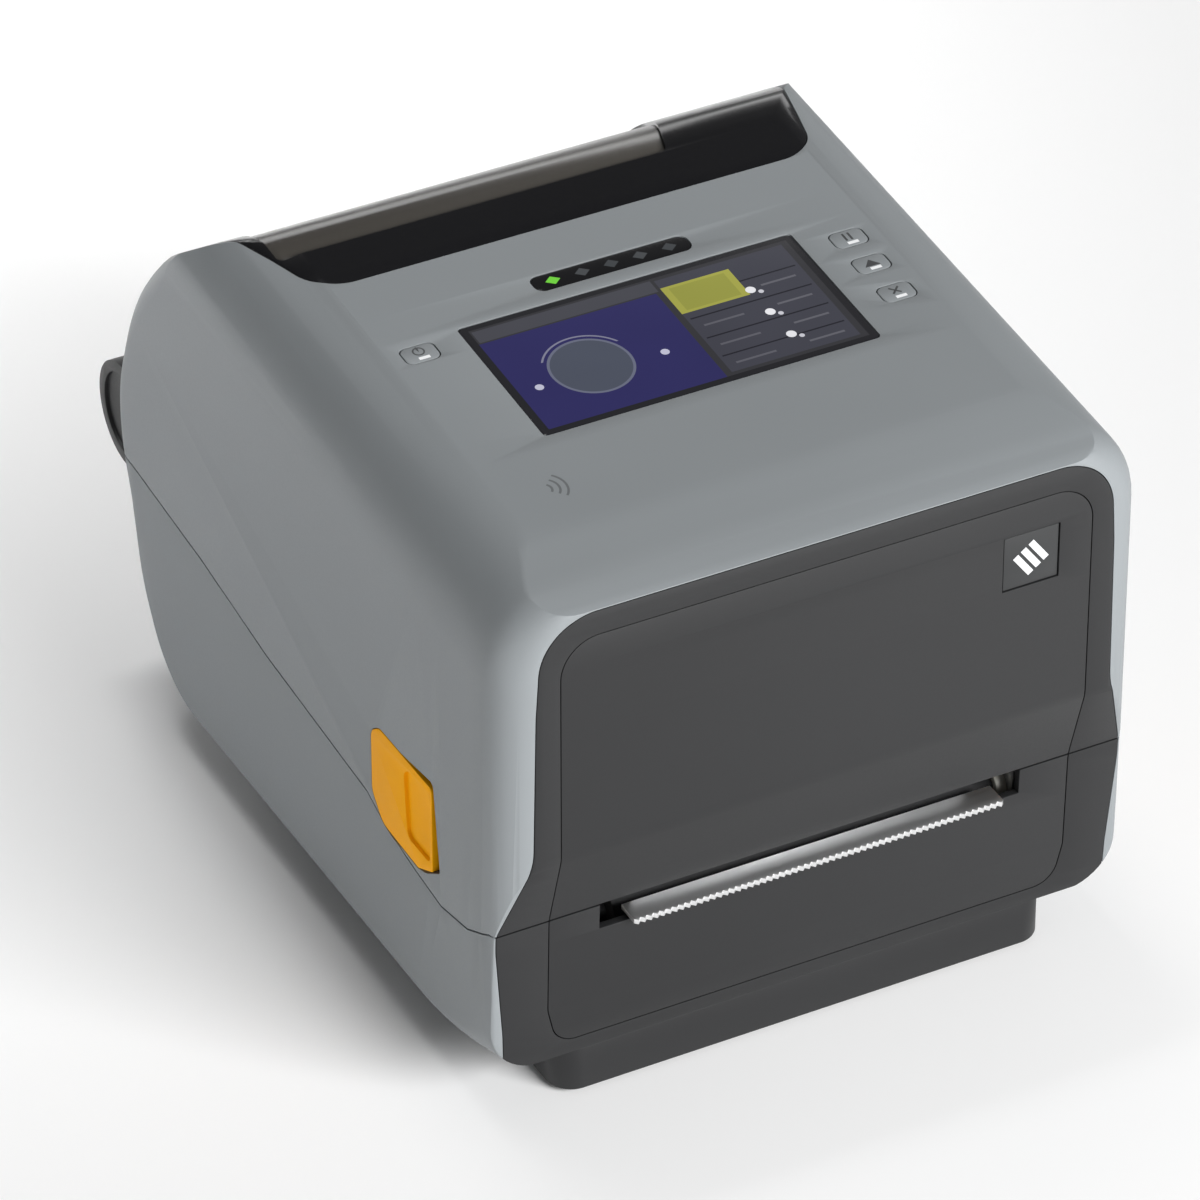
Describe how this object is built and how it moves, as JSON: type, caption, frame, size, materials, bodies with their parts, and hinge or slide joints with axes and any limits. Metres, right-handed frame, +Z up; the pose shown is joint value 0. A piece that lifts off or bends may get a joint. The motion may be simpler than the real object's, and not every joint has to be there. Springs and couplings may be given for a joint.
{
  "type": "label printer",
  "caption": "Desktop label printer with a hinged cover, touch display, release latches, roll holders and a geared platen.",
  "frame": {"origin": "on the desk, under the centre of the printer's outline", "axes": "+X to the right as one faces the front, -Y out of the front, +Z up"},
  "size_m": [0.202, 0.267, 0.1903],
  "materials": {
    "grey_plastic": "fine-textured mid grey moulded plastic",
    "dark_plastic": "fine-textured charcoal moulded plastic",
    "emblem_plastic": null,
    "window_black": "high gloss black plastic",
    "smoked_pane": "smoked translucent glossy plastic",
    "display_glass": "flush black cover glass over the screen",
    "inner_plastic": "plain dark inner plastic",
    "latch_orange": "satin orange plastic",
    "rubber": "matt black rubber",
    "steel": "plated steel",
    "connector_steel": "tin-plated steel",
    "head_aluminium": "extruded aluminium heat sink",
    "motor_metal": "black painted motor case",
    "nylon": "natural nylon",
    "circuit_board": "green solder mask",
    "label_paper": "white coated paper labels, wound",
    "ribbon_film": "black wax ribbon film, wound"
  },
  "bodies": {
    "base": {"base_shell": "grey_plastic", "base_tray": "dark_plastic", "foot_front_left": "rubber", "foot_front_right": "rubber", "foot_rear_left": "rubber", "foot_rear_right": "rubber", "hinge_knuckle_left": "dark_plastic", "hinge_knuckle_right": "dark_plastic", "roll_bay": "inner_plastic", "media_deck": "inner_plastic", "chassis_plate_left": "steel", "chassis_plate_right": "steel", "platen_bearing_left": "nylon", "platen_bearing_right": "nylon", "stepper_motor": "motor_metal", "sensor_rail": "steel", "tear_bar": "steel", "lower_bezel": "dark_plastic", "lower_front_panel": "dark_plastic", "port_plate": "inner_plastic", "io_board": "circuit_board", "serial_port": "connector_steel", "ethernet_port": "connector_steel", "usb_device_port": "connector_steel", "power_inlet": "inner_plastic"},
    "lid": {"top_cover": "grey_plastic", "cover_frame": "inner_plastic", "upper_bezel": "dark_plastic", "upper_front_panel": "dark_plastic", "emblem_plate": "emblem_plastic", "window_frame": "window_black", "window_pane": "smoked_pane", "display_glass": "display_glass", "display_module": "inner_plastic", "status_light_bar": "window_black", "ribbon_frame": "inner_plastic", "head_spring_left": "steel", "head_spring_right": "steel"},
    "latches": {"latch_left": "latch_orange", "latch_right": "latch_orange", "latch_shaft": "steel"},
    "power_key": {"power_button": "grey_plastic"},
    "pause_key": {"pause_button": "grey_plastic"},
    "feed_key": {"feed_button": "grey_plastic"},
    "cancel_key": {"cancel_button": "grey_plastic"},
    "print_head": {"printhead_bracket": "steel", "printhead": "head_aluminium"},
    "platen": {"platen_roller": "rubber", "platen_gear": "nylon"},
    "idler": {"idler_gear": "nylon"},
    "motor_shaft": {"motor_pinion": "steel"},
    "left_holder": {"roll_holder_left": "nylon"},
    "right_holder": {"roll_holder_right": "nylon"},
    "pinion": {"centring_pinion": "nylon"},
    "roll": {"label_roll": "label_paper"},
    "sensor": {"sensor_carriage": "inner_plastic"},
    "ribbon_supply": {"ribbon_supply_spindle": "nylon", "ribbon_roll": "ribbon_film"},
    "ribbon_takeup": {"ribbon_takeup_spindle": "nylon"}
  },
  "joints": [
    {"name": "lid_hinge", "type": "hinge", "parent": "base", "child": "lid", "pos_m": [0, 0.1165, 0.094], "axis": [-1, 0, 0], "range_deg": [0, 95]},
    {"name": "latch_pull", "type": "hinge", "parent": "lid", "child": "latches", "pos_m": [0, -0.072, 0.101], "axis": [-1, 0, 0], "range_deg": [0, 7], "stiffness_Nm_per_rad": 0.3, "springref_deg": -28.65},
    {"name": "power_press", "type": "slide", "parent": "lid", "child": "power_key", "axis": [0, 0.0767, -0.9971], "range_m": [0, 0.0008], "stiffness_N_per_m": 500, "springref_m": -0.002},
    {"name": "pause_press", "type": "slide", "parent": "lid", "child": "pause_key", "axis": [0, 0.0767, -0.9971], "range_m": [0, 0.0008], "stiffness_N_per_m": 500, "springref_m": -0.002},
    {"name": "feed_press", "type": "slide", "parent": "lid", "child": "feed_key", "axis": [0, 0.0767, -0.9971], "range_m": [0, 0.0008], "stiffness_N_per_m": 500, "springref_m": -0.002},
    {"name": "cancel_press", "type": "slide", "parent": "lid", "child": "cancel_key", "axis": [0, 0.0767, -0.9971], "range_m": [0, 0.0008], "stiffness_N_per_m": 500, "springref_m": -0.002},
    {"name": "head_lift", "type": "hinge", "parent": "lid", "child": "print_head", "pos_m": [0, -0.066, 0.084], "axis": [-1, 0, 0], "range_deg": [0, 4], "stiffness_Nm_per_rad": 4, "springref_deg": -11.46, "deforming": ["head_spring_left", "head_spring_right"]},
    {"name": "platen_spin", "type": "hinge", "parent": "base", "child": "platen", "pos_m": [0, -0.11, 0.051], "axis": [1, 0, 0], "continuous": true},
    {"name": "idler_spin", "type": "hinge", "parent": "base", "child": "idler", "pos_m": [-0.0765, -0.086, 0.041], "axis": [1, 0, 0], "continuous": true},
    {"name": "motor_spin", "type": "hinge", "parent": "base", "child": "motor_shaft", "pos_m": [-0.0765, -0.0675, 0.03667], "axis": [1, 0, 0], "continuous": true},
    {"name": "left_holder_slide", "type": "slide", "parent": "base", "child": "left_holder", "axis": [-1, 0, 0], "range_m": [0, 0.008], "stiffness_N_per_m": 60, "springref_m": -0.03},
    {"name": "right_holder_slide", "type": "slide", "parent": "base", "child": "right_holder", "axis": [1, 0, 0], "range_m": [0, 0.008]},
    {"name": "pinion_turn", "type": "hinge", "parent": "base", "child": "pinion", "pos_m": [0, 0.03, 0.026], "axis": [0, 0, 1], "range_deg": [-92, 0]},
    {"name": "roll_spin", "type": "hinge", "parent": "base", "child": "roll", "pos_m": [0, 0.03, 0.08], "axis": [1, 0, 0], "continuous": true},
    {"name": "sensor_slide", "type": "slide", "parent": "base", "child": "sensor", "axis": [1, 0, 0], "range_m": [-0.05, 0.05]},
    {"name": "supply_spin", "type": "hinge", "parent": "lid", "child": "ribbon_supply", "pos_m": [0, -0.046, 0.126], "axis": [1, 0, 0], "continuous": true},
    {"name": "takeup_spin", "type": "hinge", "parent": "lid", "child": "ribbon_takeup", "pos_m": [0, -0.093, 0.134], "axis": [1, 0, 0], "continuous": true}
  ],
  "couplings": [
    {"joint": "idler_spin", "follows": "platen_spin", "ratio": -0.85714},
    {"joint": "motor_spin", "follows": "platen_spin", "ratio": 2.4},
    {"joint": "right_holder_slide", "follows": "left_holder_slide", "ratio": 1},
    {"joint": "pinion_turn", "follows": "left_holder_slide", "rad_per_m": -200},
    {"joint": "takeup_spin", "follows": "supply_spin", "ratio": 1.5455}
  ]
}
